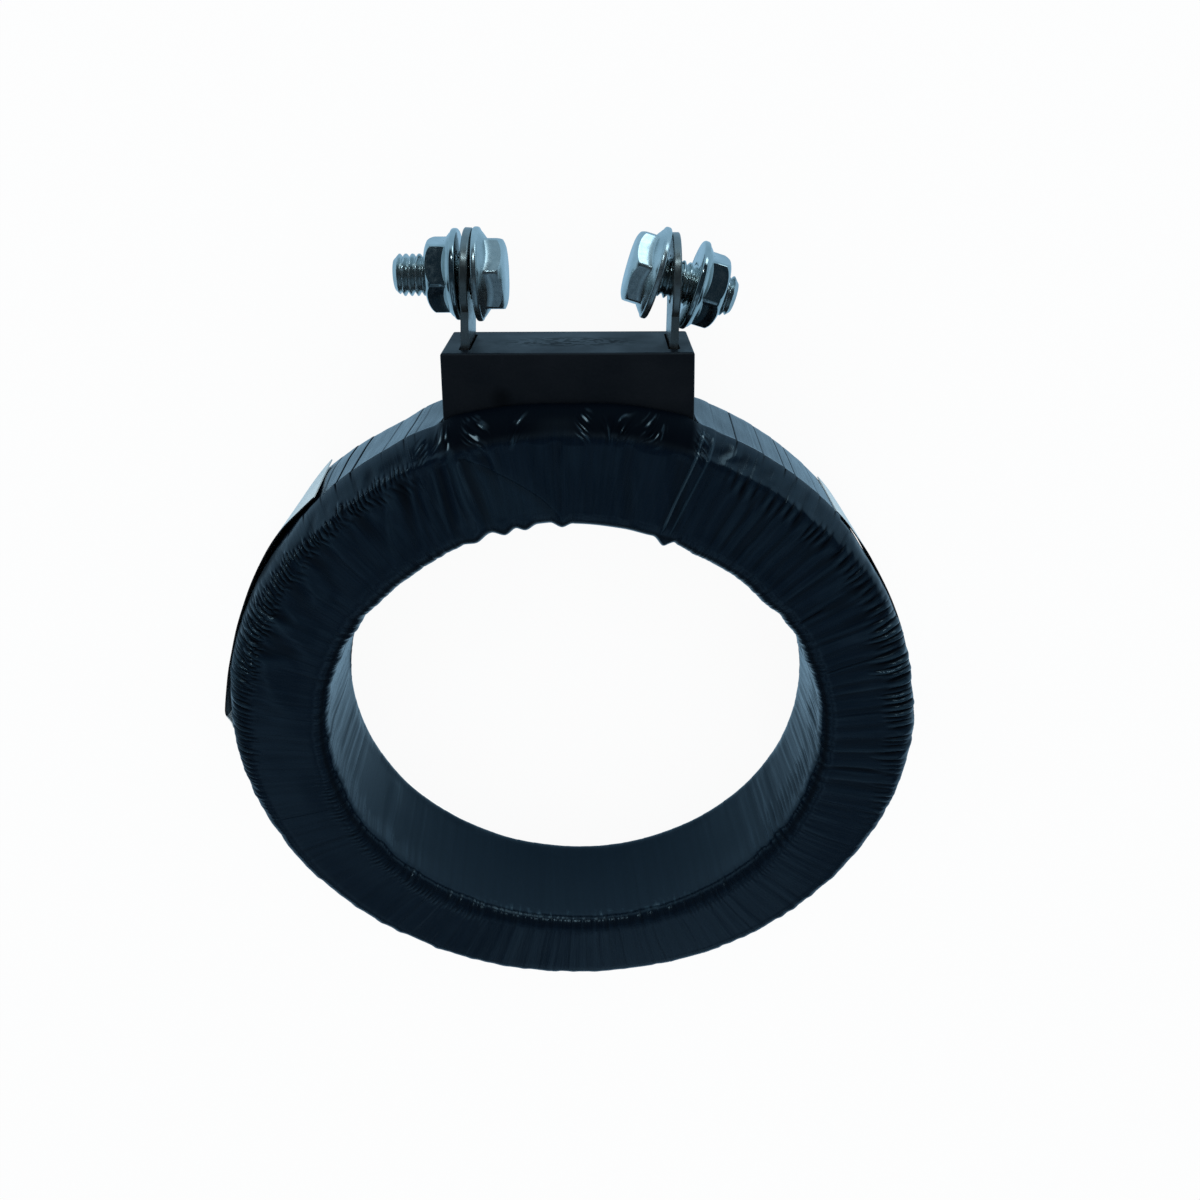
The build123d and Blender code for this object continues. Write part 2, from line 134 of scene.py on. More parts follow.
# ---------------- meshes
def surface(name, points, material, u=None, v=None, wrap_u=False, wrap_v=False,
            cap_u=False, cap_v=False, flip=False, sharp=None, marks=None):
    """Mesh of a grid of points (rows, columns, xyz) in mm, with a UV map from u and v in mm.

    Each cell between neighbouring rows and columns is one four-sided face.  A wrapped
    direction joins its last line to its first, and a capped one closes each end line.
    Each grid of marks, 0 to 1, goes in as an attribute of its name.
    """
    rows, cols = points.shape[:2]
    i = np.arange(rows if wrap_u else rows - 1)[:, None]
    j = np.arange(cols if wrap_v else cols - 1)[None, :]
    corners = [(i, j), (i + 1, j), (i + 1, j + 1), (i, j + 1)]
    quads = np.stack([(a % rows) * cols + b % cols for a, b in corners], -1).reshape(-1, 4)
    caps = []
    if cap_u:
        line = np.arange(cols)
        caps += [line, (rows - 1) * cols + line[::-1]]
    if cap_v:
        line = np.arange(rows) * cols
        caps += [line[::-1], line + cols - 1]
    if flip:
        quads, caps = quads[:, ::-1], [cap[::-1] for cap in caps]
    loops = np.concatenate([quads.ravel(), *caps]).astype(np.int32)
    sizes = np.array([4] * len(quads) + [len(cap) for cap in caps])
    starts = np.concatenate([[0], np.cumsum(sizes)[:-1]]).astype(np.int32)
    mesh = bpy.data.meshes.new(name)
    mesh.vertices.add(rows * cols)
    mesh.vertices.foreach_set("co", (points.reshape(-1, 3) * MM).astype(np.float32).ravel())
    mesh.loops.add(len(loops))
    mesh.loops.foreach_set("vertex_index", loops)
    mesh.polygons.add(len(sizes))
    mesh.polygons.foreach_set("loop_start", starts)
    mesh.update(calc_edges=True)
    if u is not None:
        across = np.stack([u[(i + a)] + 0 * j for a in (0, 1, 1, 0)], -1).reshape(-1, 4)
        along = np.stack([v[(j + b)] + 0 * i for b in (0, 0, 1, 1)], -1).reshape(-1, 4)
        if flip:
            across, along = across[:, ::-1], along[:, ::-1]
        flat = np.zeros((len(loops), 2), np.float32)
        flat[:quads.size, 0] = across.ravel()
        flat[:quads.size, 1] = along.ravel()
        mesh.uv_layers.new(name="lay").data.foreach_set("uv", flat.ravel())
    for mark, values in (marks or {}).items():
        stored = mesh.attributes.new(mark, "FLOAT", "POINT").data
        stored.foreach_set("value", values.astype(np.float32).ravel())
    mesh.shade_smooth()
    if sharp is not None:
        mesh.set_sharp_from_angle(angle=math.radians(sharp))
    mesh.materials.append(material)
    piece = bpy.data.objects.new(name, mesh)
    bpy.context.scene.collection.objects.link(piece)
    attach(piece, "root")
    return piece


# ---------------- materials
class Tree:
    """Short hand for building a node tree."""

    def __init__(self, tree):
        self.tree = tree

    def feed(self, value, socket):
        """Links an output to a socket, or sets a number or colour there."""
        if isinstance(value, bpy.types.NodeSocket):
            self.tree.links.new(value, socket)
        else:
            socket.default_value = (*value, 1) if socket.type == "RGBA" else value

    def add(self, kind, **values):
        """New node, with its properties or sockets set by name."""
        node = self.tree.nodes.new(kind)
        for key, value in values.items():
            if hasattr(node, key):
                setattr(node, key, value)
            else:
                self.feed(value, node.inputs[key.replace("_", " ")])
        return node

    def noise(self, where, scale=1.0, detail=3.0, rough=0.5):
        node = self.add("ShaderNodeTexNoise", Vector=where, Scale=scale, Detail=detail, Roughness=rough)
        return node.outputs["Fac"]

    def ramp(self, fac, *stops):
        """Colour ramp of (place, colour) stops, with grey given as one number."""
        node = self.add("ShaderNodeValToRGB", Fac=fac)
        cells = node.color_ramp.elements
        while len(cells) < len(stops):
            cells.new(0.5)
        for cell, (at, colour) in zip(cells, stops):
            cell.position = at
            cell.color = (colour,) * 3 + (1,) if isinstance(colour, (int, float)) else (*colour, 1)
        return node.outputs["Color"]

    def mix(self, fac, a, b):
        """Colour a where fac is 0 and b where it is 1, each an output or a value."""
        node = self.add("ShaderNodeMix", data_type="RGBA")
        for value, socket in zip((fac, a, b), (node.inputs[0], node.inputs[6], node.inputs[7])):
            self.feed(value, socket)
        return node.outputs[2]

    def math(self, operation, a, b):
        node = self.add("ShaderNodeMath", operation=operation)
        self.feed(a, node.inputs[0])
        self.feed(b, node.inputs[1])
        return node.outputs[0]

    def vectors(self, operation, a, b):
        """Number that a vector operation gives for an output and a fixed vector."""
        node = self.add("ShaderNodeVectorMath", operation=operation)
        self.feed(a, node.inputs[0])
        self.feed(b, node.inputs[1])
        return node.outputs["Value"]

    def smooth(self, value, start, end):
        """Smooth step of an output between two values."""
        return self.add("ShaderNodeMapRange", interpolation_type="SMOOTHSTEP", Value=value,
                        From_Min=start, From_Max=end).outputs["Result"]

    def blend(self, fac, a, b):
        """Shader a where fac is 0 and b where it is 1."""
        node = self.add("ShaderNodeMixShader")
        for value, socket in zip((fac, a, b), node.inputs):
            self.feed(value, socket)
        return node.outputs[0]


class Finish(Tree):
    """Node tree of one new material."""

    def __init__(self, name):
        self.material = bpy.data.materials.new(name)
        self.material.use_nodes = True
        super().__init__(self.material.node_tree)
        self.shader = self.tree.nodes["Principled BSDF"]

    def place(self, scale, uv=None):
        """Object coordinates, or the piece's own UV map, stretched by scale (per metre or mm)."""
        if uv:
            where = self.add("ShaderNodeUVMap", uv_map=uv).outputs["UV"]
        else:
            where = self.add("ShaderNodeTexCoord").outputs["Object"]
        return self.add("ShaderNodeMapping", Vector=where, Scale=scale).outputs["Vector"]

    def mark(self, name):
        """A piece's own marks, by the attribute's name."""
        return self.add("ShaderNodeAttribute", attribute_name=name).outputs["Fac"]

    def bumps(self, height, distance, strength=1.0):
        """Bump of a height output, over a distance in mm, onto the shader's normal."""
        node = self.add("ShaderNodeBump", Strength=strength, Distance=distance * MM, Height=height)
        self.feed(node.outputs["Normal"], self.shader.inputs["Normal"])

    def set(self, **values):
        """Shader sockets by name: a number or colour is set there, and an output is linked."""
        for key, value in values.items():
            self.feed(value, self.shader.inputs[key.replace("_", " ")])


def tape_finish(name, deep, worn, rough, streak):
    """Stretched vinyl tape: navy black with streaks along each wrap and a fine grain.

    The seam and shade attribute turns it dull and black: along the cut edges of wraps, and as
    painted shade deep in gathers, in creases, under the labels and at the block's foot.  The
    crest highlight attribute turns it paler and glossier, as painted highlights on ridges,
    crinkles, creases and along the lip.
    """
    n = Finish(name)
    across = n.place((1.6, 0.05, 1), uv="lay")      # streaks run along the wrap, across u
    fine = n.place((5.0, 0.30, 1), uv="lay")
    cloud = n.place((45, 45, 45))
    seam_and_shade, crest_highlight = n.mark("seam_and_shade"), n.mark("crest_highlight")
    streaks = n.noise(across, 1.0, 4.0, 0.6)
    tone = n.mix(n.ramp(streaks, (0.30, 0.0), (0.72, 1.0)), deep, worn)
    tone = n.mix(n.ramp(n.noise(cloud, 1.0, 2.0), (0.35, 0.0), (0.7, 0.35)), tone, worn)
    low, high = rough
    gloss = n.ramp(n.noise(fine, 1.0, 3.0), (0.3, low), (0.75, high))
    gloss = n.mix(crest_highlight, gloss, (0.08, 0.08, 0.08))
    # painted highlights: paler tones where the crest highlight mark is high
    tone = n.mix(n.ramp(crest_highlight, (0.0, 0.0), (0.5, 1.0)), tone, (0.0100, 0.0220, 0.0340))
    tone = n.mix(n.ramp(crest_highlight, (0.6, 0.0), (0.95, 1.0)), tone, (0.20, 0.27, 0.30))
    # black and dull along the cut edges of wraps; the same black is painted shade in hollows, creases,
    # under the labels and at the block's foot
    n.set(Base_Color=n.mix(seam_and_shade, tone, (0.0002, 0.0014, 0.0038)),
          Roughness=n.mix(seam_and_shade, gloss, (0.7, 0.7, 0.7)),
          Specular_IOR_Level=n.ramp(seam_and_shade, (0.0, 0.5), (1.0, 0.0)),
          IOR=1.42, Specular_Tint=(0.74, 0.92, 1.0))
    height = n.math("ADD", streaks, n.math("MULTIPLY", n.noise(fine, 1.0, 2.0), 0.35))
    n.bumps(height, streak)
    return n.material


def metal_finish(name, light, dark, rough, depth):
    """Plated metal: a tint that drifts, and a finely pitted coat of depth in mm."""
    n = Finish(name)
    drift = n.noise(n.place((180, 180, 180)), 1.0, 3.0, 0.6)
    pits = n.noise(n.place((1600, 1600, 1600)), 1.0, 2.0)
    n.set(Base_Color=n.mix(n.ramp(drift, (0.3, 0.0), (0.7, 1.0)), light, dark), Metallic=1.0,
          Roughness=n.ramp(pits, (0.3, rough[0]), (0.7, rough[1])))
    n.bumps(n.math("ADD", drift, n.math("MULTIPLY", pits, 0.5)), depth)
    return n.material


TAPE = tape_finish("vinyl tape", (0.0008, 0.0030, 0.0075), (0.0019, 0.0054, 0.0122), (0.14, 0.27), 0.04)
ZINC = metal_finish("zinc plate", (0.52, 0.57, 0.56), (0.33, 0.38, 0.38), (0.06, 0.17), 0.010)
# the bolts' zinc: rougher than the nuts' zinc, and paler, which is painted light that makes the bolt
# heads' facets read lighter
DULL_LIGHTENED_ZINC = metal_finish("dull zinc plate, lightened", (0.60, 0.65, 0.64), (0.40, 0.45, 0.45), (0.20, 0.30), 0.004)
TINNED = metal_finish("tinned brass", (0.32, 0.34, 0.33), (0.19, 0.20, 0.19), (0.24, 0.36), 0.010)


def block_finish():
    """Glass-filled moulding: near-black matt grain, uneven along the middle of its top where it
    is rubbed, with a dark stain low on the front."""
    n = Finish("matt moulding")
    grain = n.noise(n.place((2600, 2600, 2600)), 1.0, 3.0, 0.6)
    cloud = n.noise(n.place((120, 160, 120)), 1.0, 3.0, 0.55)
    tone = n.mix(n.ramp(cloud, (0.35, 0.0), (0.7, 1.0)),
                 (0.0012, 0.0032, 0.0066), (0.0024, 0.0052, 0.0098))
    tone = n.mix(n.ramp(grain, (0.45, 0.0), (0.75, 0.25)), tone, (0.006, 0.010, 0.015))
    stain = n.vectors("DISTANCE", n.place((1, 1, 1)), (-0.0102, 0.0650, 0.0074))
    spot = n.ramp(n.math("MULTIPLY", stain, 250.0), (0.15, 0.6), (0.55, 0.0))
    middle = n.vectors("DISTANCE", n.place((0.30, 1, 1)), (0.0, BLOCK_TOP * MM, 0.0))
    top = n.ramp(n.math("MULTIPLY", middle, 250.0), (0.55, 1.0), (0.95, 0.0))
    flecks = n.ramp(n.noise(n.place((900, 300, 1500)), 1.0, 1.0), (0.46, 0.0), (0.56, 1.0))
    worn = n.math("MULTIPLY", top, flecks)
    tone = n.mix(worn, tone, (0.0003, 0.0010, 0.0020))
    shine = n.math("SUBTRACT", 0.27, n.math("MULTIPLY", n.math("MAXIMUM", worn, spot), 0.21))
    n.set(Base_Color=n.mix(spot, tone, (0.0004, 0.0010, 0.0016)), Specular_IOR_Level=shine,
          Roughness=n.ramp(cloud, (0.3, 0.42), (0.7, 0.60)))
    n.bumps(grain, 0.03, 0.7)
    return n.material


def film_finish():
    """Pale matt film of a label, its tint drifting with a few rubbed spots."""
    n = Finish("pale label film")
    drift = n.noise(n.place((70, 70, 70)), 1.0, 3.0, 0.6)
    spots = n.noise(n.place((320, 320, 320)), 1.0, 4.0, 0.7)
    tone = n.mix(n.ramp(drift, (0.3, 0.0), (0.7, 1.0)), (0.60, 0.70, 0.73), (0.72, 0.79, 0.80))
    n.set(Base_Color=n.mix(n.ramp(spots, (0.64, 0.0), (0.74, 0.5)), tone, (0.42, 0.38, 0.30)),
          Roughness=n.ramp(spots, (0.3, 0.30), (0.7, 0.45)))
    n.bumps(spots, 0.02)
    return n.material


def label_shade_finish():
    """Painted shade: a near-black inner side and cut edge of the label, standing in for the shaded gap
    between label and ring, with faint smears.
    """
    n = Finish("label underside shade")
    smears = n.noise(n.place((260, 260, 700)), 1.0, 3.0, 0.6)
    n.set(Base_Color=n.mix(n.ramp(smears, (0.35, 0.0), (0.7, 1.0)), (0.003, 0.004, 0.006),
                           (0.010, 0.012, 0.016)),
          Roughness=n.ramp(smears, (0.3, 0.45), (0.7, 0.7)))
    n.bumps(smears, 0.02)
    return n.material


def inner_finish(name, light, dark, rough, scale, metallic=0.0):
    """Mottled finish for what lies inside the tape."""
    n = Finish(name)
    mottle = n.noise(n.place((scale, scale, scale)), 1.0, 4.0, 0.6)
    n.set(Base_Color=n.mix(n.ramp(mottle, (0.3, 0.0), (0.7, 1.0)), light, dark), Metallic=metallic,
          Roughness=n.ramp(mottle, (0.3, rough), (0.7, rough + 0.15)))
    n.bumps(mottle, 0.03)
    return n.material


BLOCK = block_finish()
FILM_PALE = film_finish()
LABEL_SHADE = label_shade_finish()
INNER = {
    "core": inner_finish("core strip edges", (0.42, 0.42, 0.44), (0.28, 0.28, 0.30), 0.35, 900, 1.0),
    "board": inner_finish("pressboard", (0.60, 0.48, 0.32), (0.46, 0.36, 0.23), 0.75, 700),
    "wire": inner_finish("enamelled wire", (0.60, 0.26, 0.12), (0.42, 0.16, 0.07), 0.28, 1200, 0.8),
    "film": inner_finish("polyester film", (0.66, 0.60, 0.40), (0.54, 0.48, 0.30), 0.25, 300),
    "sleeve": inner_finish("woven sleeving", (0.76, 0.73, 0.66), (0.60, 0.57, 0.50), 0.8, 2500),
}
NODE_FINISH = {"terminal_block": BLOCK, "terminal_tab_left": TINNED, "terminal_tab_right": TINNED,
               "core": INNER["core"], "secondary_winding": INNER["wire"], "winding_film": INNER["film"]}
for place in ("front", "rear", "inner", "outer"):
    NODE_FINISH[f"core_board_{place}"] = INNER["board"]
for side in ("left", "right"):
    NODE_FINISH[f"lead_{side}"] = INNER["wire"]
    NODE_FINISH[f"lead_sleeve_{side}"] = INNER["sleeve"]
for node, finish in NODE_FINISH.items():
    cad = frame["nodes"][node]
    cad.data.materials.clear()
    cad.data.materials.append(finish)


# ---------------- the ring's section
# Distances along the section, from the rear end of the bore wall: up the bore wall, round the
# lip, over the front face, round the shoulder, down the outer wall and back over the rear.
BORE_WALL = RING_W - 2 * INNER_CORNER
FACE_WIDTH = RING_R - WINDOW_R - OUTER_CORNER - INNER_CORNER
OUTER_WALL = RING_W - 2 * OUTER_CORNER
LIP_ARC, SHOULDER_ARC = math.pi / 2 * INNER_CORNER, math.pi / 2 * OUTER_CORNER
STRETCHES = (BORE_WALL, LIP_ARC, FACE_WIDTH, SHOULDER_ARC, OUTER_WALL, SHOULDER_ARC, FACE_WIDTH, LIP_ARC)
S_BORE, S_LIP, S_FACE, S_SHOULDER, S_WALL, S_REAR_SHOULDER, S_REAR, S_REAR_LIP, S_END = np.concatenate(
    [[0.0], np.cumsum(STRETCHES)])


def section(s):
    """Radius, height and outward normal (radial, axial) of the ring's section at distance s.

    Straight stretches run between quarter circles of the corner radii, and past the middle of
    the outer wall the rear half mirrors the front half.
    """
    half, inner, outer = RING_W / 2, INNER_CORNER, OUTER_CORNER
    rear = s > (S_WALL + S_REAR_SHOULDER) / 2
    side = np.where(rear, -1, 1)
    s = np.where(rear, S_WALL + S_REAR_SHOULDER - s, s)
    lip, shoulder = (s - S_LIP) / inner, (s - S_SHOULDER) / outer
    cases = [s < S_LIP, s < S_FACE, s < S_SHOULDER, s < S_WALL, s < S_REAR_SHOULDER]
    one, zero = np.ones_like(s), np.zeros_like(s)
    radius = np.select(cases, [
        WINDOW_R * one, WINDOW_R + inner - inner * np.cos(lip), WINDOW_R + inner + s - S_FACE,
        RING_R - outer + outer * np.sin(shoulder), RING_R * one])
    height = np.select(cases, [
        s - half + inner, half - inner + inner * np.sin(lip), half * one,
        half - outer + outer * np.cos(shoulder), half - outer - (s - S_WALL)])
    out_r = np.select(cases, [-one, -np.cos(lip), zero, np.sin(shoulder), one])
    out_z = np.select(cases, [zero, np.sin(lip), one, np.cos(shoulder), zero])
    return radius, side * height, out_r, side * out_z


def stations(*runs):
    """Distances along the section from (start, steps) runs, each up to where the next starts."""
    starts = [start for start, _ in runs] + [S_END]
    return np.concatenate([np.linspace(start, end, steps, endpoint=False)
                           for (start, steps), end in zip(runs, starts[1:])])


OUTER_SKEW, BORE_SKEW = 2.5, 4.0            # degrees that the wraps' edges slant by


def lean(radius, height):
    """Sideways shift of a wrap's edge in mm: its height times the tangent of its slant."""
    inside = (RING_R - radius) / (RING_R - WINDOW_R)
    slant = np.tan(np.radians(OUTER_SKEW)) * (1 - inside) + np.tan(np.radians(BORE_SKEW)) * inside
    return height * slant


# ---------------- the tape's relief (mm)
EDGES = 96                       # wraps' edges that show, in a full turn
CREASE_S = S_SHOULDER + 1.5      # crease between the face and the bevel, where the tape gathers


def turned(angle):
    """Angle from the block, in degrees from -180 to 180 and positive on the left."""
    return (angle + 180) % 360 - 180


def zone(angle, start, end, soft):
    """1 between two angles, with smooth ends soft degrees wide."""
    return span(angle, start, start + soft, end - soft, end)


def level_place(radius, angle):
    """Place across the ring, x and y in mm, at an angle from the block in degrees."""
    return -radius * np.sin(np.radians(angle)), radius * np.cos(np.radians(angle))


def on_wall(s):
    """1 on the outer wall, fading out round the shoulders."""
    return span(s, S_SHOULDER + 1.0, S_WALL - 0.5, S_REAR_SHOULDER, S_REAR - 2)


def on_face(s):
    """1 on the front face, fading out at the lip and at the crease."""
    return span(s, S_LIP + 1, S_FACE + 1, CREASE_S - 1.2, CREASE_S + 0.2)


def build_up(angle):
    """Extra tape on the outer wall: thickest where the binding ends, thinning out linearly."""
    return BUILD_UP * np.clip(1 - np.abs(np.abs(turned(angle)) - BIND_HALF) / BUILD_UP_ANGLE, 0, 1)


def wraps(w):
    """For each angle: the number of the wrap's edge before it, and its distances in turns of
    one wrap from that edge and from the next."""
    turn = w / 360 * EDGES
    number = np.floor(turn).astype(int)
    shifts = pick(11, EDGES, -0.3, 0.3)
    start = shifts[number % EDGES] + 0.5
    last = np.where(turn - number >= start, number, number - 1)
    begin = last + shifts[last % EDGES] + 0.5
    finish = last + 1 + shifts[(last + 1) % EDGES] + 0.5
    return last % EDGES, turn - begin, finish - turn


def wrap_steps(w, s):
    """Saw-tooth of overlapping wraps: each edge steps up and sinks to the next one."""
    last, since, left = wraps(w)
    rise = pick(12, EDGES, 0.03, 0.09)[last] * (0.25 + 0.75 * fade(s, S_WALL - 2, S_WALL))
    return rise * (left / (since + left)) ** 1.3


def seam_lines(w, s):
    """How far each point lies in the dark line along a wrap's edge: 1 in its middle.

    The lines are plain on the outer wall, and fade over the bevel and in the bore.
    """
    last, since, left = wraps(w)
    pitch = 2 * np.pi * RING_R / EDGES
    away = np.minimum(since, left) * pitch
    edge = np.where(since < left, last, (last + 1) % EDGES)
    plain = pick(13, EDGES, 0.35, 1.0)[edge]
    wall = span(s, S_WALL - 2.5, S_WALL - 0.2, S_REAR_SHOULDER, S_REAR)
    return plain * (1 - fade(away, 0.06, 0.26)) * (0.06 + 0.94 * wall)


def pleat_row(w, s, count, seed, middle, reach, height, slant=0.0):
    """Row of gathers round the ring: half waves of a sine, one ridge in each.

    Each has its own height and its own reach in mm to either side of the distance middle, and
    leans along the ring by slant gathers a mm.
    """
    phase = w / 360 * count + 0.45 * around_turn(w, count // 2, seed) + slant * (s - middle)
    number = np.floor(phase).astype(int)
    own = number % count
    size = pick(seed + 1, count, 0.35, 1.0)[own]
    span = reach * pick(seed + 2, count, 0.55, 1.0)[own]
    ridge = np.sin(np.pi * (phase - number)) - 0.5
    return height * size * ridge * bump(s, middle + 0.25 * span * pick(seed + 3, count)[own], span)


def gathers(w, s, angle):
    """The tape's gathers, which differ from side to side of the ring.

    Left of the block they are a fine crimp along the crease, which opens into long scallops
    down the side; right of it they are soft dimples and then curved pleats.  Round the far
    side only a fine edge is left.
    """
    left, right = angle, -angle
    zigzag = 0.5 * (around_turn(w, 520, 61) + 0.9 * around_turn(w, 170, 62))
    reach = 1.9 + 1.4 * fade(left, 42, 66)
    crimp = pleat_row(w, s + zigzag, 430, 63, CREASE_S - 0.1, reach, 0.80, slant=0.30)
    inner = pleat_row(w, s - zigzag, 330, 91, CREASE_S - 1.6, 1.7, 0.42, slant=-0.35)
    rise = zone(left, 21, 78, 6) * (crimp + inner)
    scallop = pleat_row(w, s, 350, 67, S_SHOULDER + 2.4, 4.8, 0.80, slant=0.06)
    rise = rise + zone(left, 52, 108, 14) * scallop * (1 - 0.7 * fade(left, 82, 98))
    dimple = pleat_row(w, s, 215, 71, CREASE_S - 1.0, 3.4, 0.46, slant=-0.06)
    rise = rise + zone(right, 22, 68, 6) * dimple
    curl = 0.05 * (s - S_SHOULDER) * np.abs(s - S_SHOULDER)
    lash = pleat_row(w + curl, s, 265, 75, S_SHOULDER + 0.8, 5.4, 1.0, slant=-0.06)
    rise = rise + zone(right, 56, 112, 9) * lash * (1 - 0.75 * fade(right, 78, 98))
    far = fade(np.abs(angle), 92, 110)
    fringe = pleat_row(w, s, 400, 79, S_WALL - 0.8, 2.4, 0.40)
    rise = rise + (0.35 + 0.65 * far) * fade(np.abs(angle), 60, 80) * fringe
    # soft folds inwards from the crease
    soft = around_turn(w, 170, 84, 0.3 * relief(w / 6, s / 5, 60, 83) + 0.05 * s)
    long = around_turn(w, 96, 86, 0.3 * relief(w / 6, s / 7, 60, 85) + 0.03 * s)
    inward = 0.34 * soft * bump(s, CREASE_S - 2.6, 4.4) + 0.55 * long * bump(s, CREASE_S - 4.2, 6.0)
    inward = inward * (zone(left, 12, 84, 12) + 0.55 * zone(right, 18, 82, 8) + 0.06 * (1 - far))
    # long fine streaks across the face on the right
    streaks = sum(around_turn(w, count, seed, 0.4 * relief(w / 6, s / 9, 60, seed - 1))
                  for count, seed in ((210, 88), (430, 98)))
    streaks = 0.11 * streaks * span(s, S_LIP + 2, S_FACE + 2, S_SHOULDER - 1, S_SHOULDER + 3)
    drawn = 0.13 * around_turn(w, 250, 94, 0.4 * relief(w / 6, s / 2, 60, 93))
    drawn = drawn * bump(s, CREASE_S + 2.4, 3.2)
    return rise + inward + streaks * zone(right, 18, 112, 12) + drawn


def lip_gathers(w, s, angle):
    """Fine gathers round the lip: short ticks on the face and feathers that run into the bore."""
    fine = around_turn(w, 900, 32, 0.5 * around_turn(w, 200, 31))
    middle = around_turn(w, 330, 34, 0.4 * around_turn(w, 90, 33))
    broad = around_turn(w, 130, 36, 0.3 * relief(w / 6, s / 6, 60, 35))
    feather = span(s, S_LIP - 9.0, S_LIP - 0.5, S_LIP + 1.6, S_FACE - 0.8)
    wall = span(s, S_BORE, S_BORE + 2.0, S_LIP, S_LIP + 2.5)
    sides = 0.4 + 0.6 * zone(np.abs(angle), 40, 138, 20)
    rise = (0.035 * fine + 0.09 * middle) * feather + (0.20 * broad + 0.07 * middle) * wall
    hair = pleat_row(w, s, 250, 95, S_LIP - 4.0, 7.5, 0.42, slant=0.04) * zone(-angle, 50, 128, 12)
    rim = (0.08 * middle + 0.05 * fine) * bump(s, S_LIP + 2.6, 2.4)
    ticks = zone(angle, 92, 160, 12) + 0.4 * zone(-angle, 100, 160, 12)
    ticks = ticks * pleat_row(w, s, 330, 37, S_FACE - 0.4, 2.2, 0.26, slant=0.1)
    return rise * sides + rim + hair + ticks


def slack(w, s):
    """Slow rise and fall of the tape over the core, and long soft creases along the wraps."""
    slow = 0.12 * relief(w / 9, s / 7, 40, 41)
    crease = np.abs(around_turn(w, 150, 42, 0.25 * relief(w / 6, s / 9, 60, 43)))
    line = 0.05 * (1 - np.clip(crease * 3.5, 0, 1)) * (0.6 + 0.4 * relief(w / 8, s / 12, 45, 44))
    soft = 0.04 * around_turn(w, 260, 45) * (0.6 + 0.4 * relief(w / 8, s / 6, 45, 46))
    return slow + soft - line


def settled(s, angle):
    """Uneven winding: where the ring as a whole is fuller or slimmer than its plain section."""
    rear_wall = span(s, S_WALL - 1, S_WALL + 12, S_REAR_SHOULDER + 3, S_REAR)
    outer = span(s, S_SHOULDER + 2, S_WALL, S_REAR_SHOULDER + 3, S_REAR)
    bore = np.maximum(1 - fade(s, S_LIP - 6, S_LIP + 3), fade(s, S_REAR_LIP - 2, S_END))
    lip = bump(s, S_LIP + 1.5, 6.0)
    return (1.6 * bump(angle, 47.0, 21.0) * rear_wall - 1.05 * zone(-angle, 44, 88, 11) * outer
            - (0.55 * zone(angle, 52, 150, 25) + 0.30 * fade(np.abs(angle), 60, 95)) * bore
            + 0.55 * (zone(angle, 20, 54, 10) + 1.1 * zone(-angle, 19, 54, 8)) * lip)


def bevel(s, angle):
    """The tape bridges the shoulder near the block: a flat bevel between two creases, and
    under the block a slope that climbs to its front instead."""
    near = 1 - fade(np.abs(angle), 36.0, 54.0)
    t = np.clip((s - CREASE_S) / (S_WALL - CREASE_S), 0, 1)
    flat = -0.62 * np.sin(np.pi * t) ** 1.3 + 0.16 * bump(s, CREASE_S, 1.3) + 0.10 * bump(s, S_WALL, 0.7)
    under = 1 - fade(np.abs(angle), 15.5, 19.5)
    climb = 1.0 * bump(s, S_WALL - 0.2, 5.0) + 0.15 * bump(s, CREASE_S, 1.6)
    return near * (1 - under) * flat + under * climb


def cracks(x, y):
    """Two long slits across the face on the right, along straight lines near the radius."""
    rise = 0
    for turn, start, end in ((-68.5, 46.8, 59.3), (-54.5, 46.4, 52.6)):
        toward = math.radians(turn)
        along = -x * math.sin(toward) + y * math.cos(toward)
        aside = x * math.cos(toward) + y * math.sin(toward)
        ends = span(along, start, start + 1.5, end - 2, end)
        rise = rise - 0.16 * bump(aside, 0.0, 0.28) * ends
    return rise


def wrapped(w, s, radius, angle):
    """Relief of the wraps round the free part of the ring."""
    flat = span(s, S_LIP + 2, S_FACE, S_SHOULDER, S_SHOULDER + 2)
    return (wrap_steps(w, s) + gathers(w, s, angle) + lip_gathers(w, s, angle) + slack(w, s)
            + cracks(*level_place(radius, angle)) * flat - 0.05 * seam_lines(w, s))


def bumps_along(x, *bumps):
    """Sum of bumps along x, each from (middle, half width, height)."""
    return sum(height * bump(x, middle, half) for middle, half, height in bumps)


def crumple(x, s):
    """How crumpled the tape on the slope under the block is: 1 in the middle of each patch."""
    patches = bumps_along(x, (-14.0, 2.6, 1), (-8.0, 2.6, 1), (2.4, 1.8, 0.8), (7.4, 3.4, 1),
                          (12.8, 2.4, 1), (-19.0, 2.2, 1), (-22.6, 1.3, 0.9), (20.2, 1.5, 1))
    return np.clip(1.3 * patches, 0, 1) * bump(s, S_SHOULDER + 3.4, 3.2)


def dents(x, s):
    """Noise of the crumpled facets: short narrow ridges that lean to one side or the other."""
    across = x + 1.1 * np.sin(x / 2.6 + 0.6) * (s - S_SHOULDER - 3.4)
    return relief(across / 0.33 + 80, s / 1.25, 90, 52) + 0.4 * relief(x / 1.4 + 80, s / 1.1, 60, 53)


